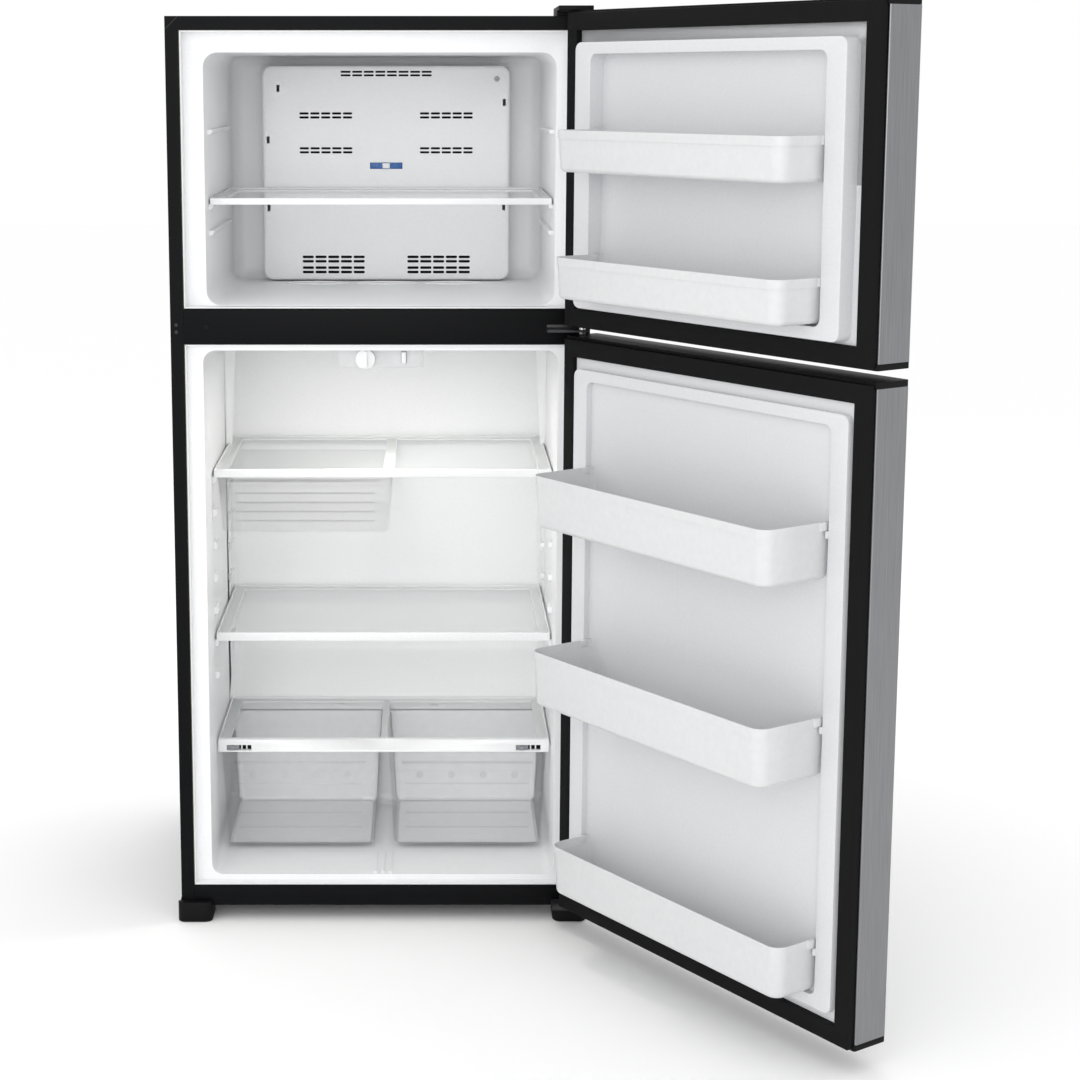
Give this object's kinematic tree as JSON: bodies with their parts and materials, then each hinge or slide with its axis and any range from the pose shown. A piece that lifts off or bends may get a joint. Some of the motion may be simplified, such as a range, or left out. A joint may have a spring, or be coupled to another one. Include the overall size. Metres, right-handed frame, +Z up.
{
  "type": "top freezer refrigerator",
  "caption": "Free-standing top freezer refrigerator with both doors open, showing its shelves, drawers and door bins.",
  "frame": {"origin": "centre of the base frame's underside, 28 mm above the floor", "axes": "+X towards the hinge side, to the right of someone facing the open cabinet; +Y to the back; +Z up"},
  "size_m": [1.2166, 1.3241, 1.7015],
  "materials": {
    "cabinet_enamel": "satin black enamel",
    "zinc_sheet": "galvanised sheet",
    "stainless": "brushed",
    "handle_steel": "brushed",
    "hinge_steel": "black enamel with a plated pin",
    "liner_plastic": "smooth white",
    "white_trim": "smooth white",
    "clear_plastic": "clear, polished",
    "shelf_glass": "clear, polished edges",
    "black_plastic": "fine texture",
    "grey_plastic": "fine texture",
    "blue_plastic": "smooth blue",
    "gasket_rubber": "soft matte",
    "insulation": "rigid foam",
    "compressor_enamel": "gloss black enamel",
    "tube_enamel": "black enamel",
    "fin_aluminium": "mill finish"
  },
  "bodies": {
    "cabinet": {"cabinet_shell": "cabinet_enamel", "back_panel": "zinc_sheet", "centre_rail": "cabinet_enamel", "base_frame": "cabinet_enamel", "foam_insulation": "insulation", "freezer_liner": "liner_plastic", "fridge_liner": "liner_plastic", "evaporator_cover": "liner_plastic", "evaporator_coil": "fin_aluminium", "evaporator_fan_motor": "grey_plastic", "crisper_cover_frame": "white_trim", "crisper_cover_glass": "shelf_glass", "control_housing": "white_trim", "compressor": "compressor_enamel", "drain_pan": "black_plastic", "condenser_coil": "tube_enamel", "condenser_fan_motor": "grey_plastic", "compressor_cover": "zinc_sheet", "top_hinge": "hinge_steel", "top_hinge_cover": "black_plastic", "centre_hinge": "hinge_steel", "bottom_hinge": "hinge_steel", "left_foot": "black_plastic", "right_foot": "black_plastic"},
    "freezer_door": {"freezer_door_skin": "stainless", "freezer_door_liner": "liner_plastic", "freezer_door_top_cap": "black_plastic", "freezer_door_bottom_cap": "black_plastic", "freezer_door_gasket": "gasket_rubber", "freezer_door_foam": "insulation", "freezer_door_handle": "handle_steel"},
    "fridge_door": {"fridge_door_skin": "stainless", "fridge_door_liner": "liner_plastic", "fridge_door_top_cap": "black_plastic", "fridge_door_bottom_cap": "black_plastic", "fridge_door_gasket": "gasket_rubber", "fridge_door_foam": "insulation", "fridge_door_handle": "handle_steel"},
    "freezer_bin_lower": {"freezer_bin_lower": "white_trim"},
    "freezer_bin_upper": {"freezer_bin_upper": "white_trim"},
    "fridge_bin_lower": {"fridge_bin_lower": "white_trim"},
    "fridge_bin_middle": {"fridge_bin_middle": "white_trim"},
    "fridge_bin_upper": {"fridge_bin_upper": "white_trim"},
    "freezer_shelf": {"freezer_shelf_frame": "white_trim", "freezer_shelf_glass": "shelf_glass"},
    "upper_shelf": {"upper_shelf_frame": "white_trim", "upper_shelf_glass": "shelf_glass"},
    "middle_shelf": {"middle_shelf_frame": "white_trim", "middle_shelf_glass": "shelf_glass"},
    "deli_drawer": {"deli_drawer": "clear_plastic"},
    "crisper_left": {"crisper_left": "clear_plastic"},
    "crisper_right": {"crisper_right": "clear_plastic"},
    "humidity_slide_left": {"humidity_slide_left": "grey_plastic"},
    "humidity_slide_right": {"humidity_slide_right": "grey_plastic"},
    "airflow_slide": {"airflow_slide": "blue_plastic"},
    "temperature_knob": {"temperature_knob": "white_trim"},
    "light_switch": {"light_switch": "white_trim"},
    "evaporator_fan": {"evaporator_fan": "grey_plastic"},
    "condenser_fan": {"condenser_fan": "black_plastic"},
    "rear_rollers": {"rear_rollers": "grey_plastic"}
  },
  "joints": [
    {"name": "freezer_door_hinge", "type": "hinge", "parent": "cabinet", "child": "freezer_door", "pos_m": [0.364, -0.361, 1.4], "axis": [0, 0, 1], "range_deg": [-124.6, 5]},
    {"name": "fridge_door_hinge", "type": "hinge", "parent": "cabinet", "child": "fridge_door", "pos_m": [0.364, -0.361, 0.55], "axis": [0, 0, 1], "range_deg": [-124.6, 5]},
    {"name": "freezer_bin_lower_lift", "type": "slide", "parent": "freezer_door", "child": "freezer_bin_lower", "axis": [0, 0, 1], "range_m": [0, 0.03]},
    {"name": "freezer_bin_upper_lift", "type": "slide", "parent": "freezer_door", "child": "freezer_bin_upper", "axis": [0, 0, 1], "range_m": [0, 0.03]},
    {"name": "fridge_bin_lower_lift", "type": "slide", "parent": "fridge_door", "child": "fridge_bin_lower", "axis": [0, 0, 1], "range_m": [0, 0.03]},
    {"name": "fridge_bin_middle_lift", "type": "slide", "parent": "fridge_door", "child": "fridge_bin_middle", "axis": [0, 0, 1], "range_m": [0, 0.03]},
    {"name": "fridge_bin_upper_lift", "type": "slide", "parent": "fridge_door", "child": "fridge_bin_upper", "axis": [0, 0, 1], "range_m": [0, 0.03]},
    {"name": "freezer_shelf_slide", "type": "slide", "parent": "cabinet", "child": "freezer_shelf", "axis": [0, -1, 0], "range_m": [0, 0.22]},
    {"name": "upper_shelf_slide", "type": "slide", "parent": "cabinet", "child": "upper_shelf", "axis": [0, -1, 0], "range_m": [0, 0.2]},
    {"name": "middle_shelf_slide", "type": "slide", "parent": "cabinet", "child": "middle_shelf", "axis": [0, -1, 0], "range_m": [0, 0.2]},
    {"name": "deli_drawer_slide", "type": "slide", "parent": "upper_shelf", "child": "deli_drawer", "axis": [0, -1, 0], "range_m": [0, 0.26]},
    {"name": "crisper_left_slide", "type": "slide", "parent": "cabinet", "child": "crisper_left", "axis": [0, -1, 0], "range_m": [0, 0.26]},
    {"name": "crisper_right_slide", "type": "slide", "parent": "cabinet", "child": "crisper_right", "axis": [0, -1, 0], "range_m": [0, 0.26]},
    {"name": "humidity_left_slide", "type": "slide", "parent": "cabinet", "child": "humidity_slide_left", "axis": [1, 0, 0], "range_m": [0, 0.022]},
    {"name": "humidity_right_slide", "type": "slide", "parent": "cabinet", "child": "humidity_slide_right", "axis": [1, 0, 0], "range_m": [0, 0.022]},
    {"name": "airflow_slide_move", "type": "slide", "parent": "cabinet", "child": "airflow_slide", "axis": [1, 0, 0], "range_m": [-0.018, 0.018]},
    {"name": "temperature_knob_turn", "type": "hinge", "parent": "cabinet", "child": "temperature_knob", "pos_m": [-0.029, -0.265, 1.0372], "axis": [0, 1, 0], "range_deg": [-110, 110]},
    {"name": "light_switch_press", "type": "slide", "parent": "cabinet", "child": "light_switch", "axis": [0, 1, 0], "range_m": [0, 0.005], "stiffness_N_per_m": 250, "springref_m": -0.002},
    {"name": "evaporator_fan_spin", "type": "hinge", "parent": "cabinet", "child": "evaporator_fan", "pos_m": [0, 0.219, 1.462], "axis": [0, 1, 0], "continuous": true},
    {"name": "condenser_fan_spin", "type": "hinge", "parent": "cabinet", "child": "condenser_fan", "pos_m": [-0.02, 0.237, 0.0943], "axis": [1, 0, 0], "continuous": true},
    {"name": "rear_rollers_spin", "type": "hinge", "parent": "cabinet", "child": "rear_rollers", "pos_m": [0, 0.28, -0.0145], "axis": [1, 0, 0], "continuous": true}
  ]
}
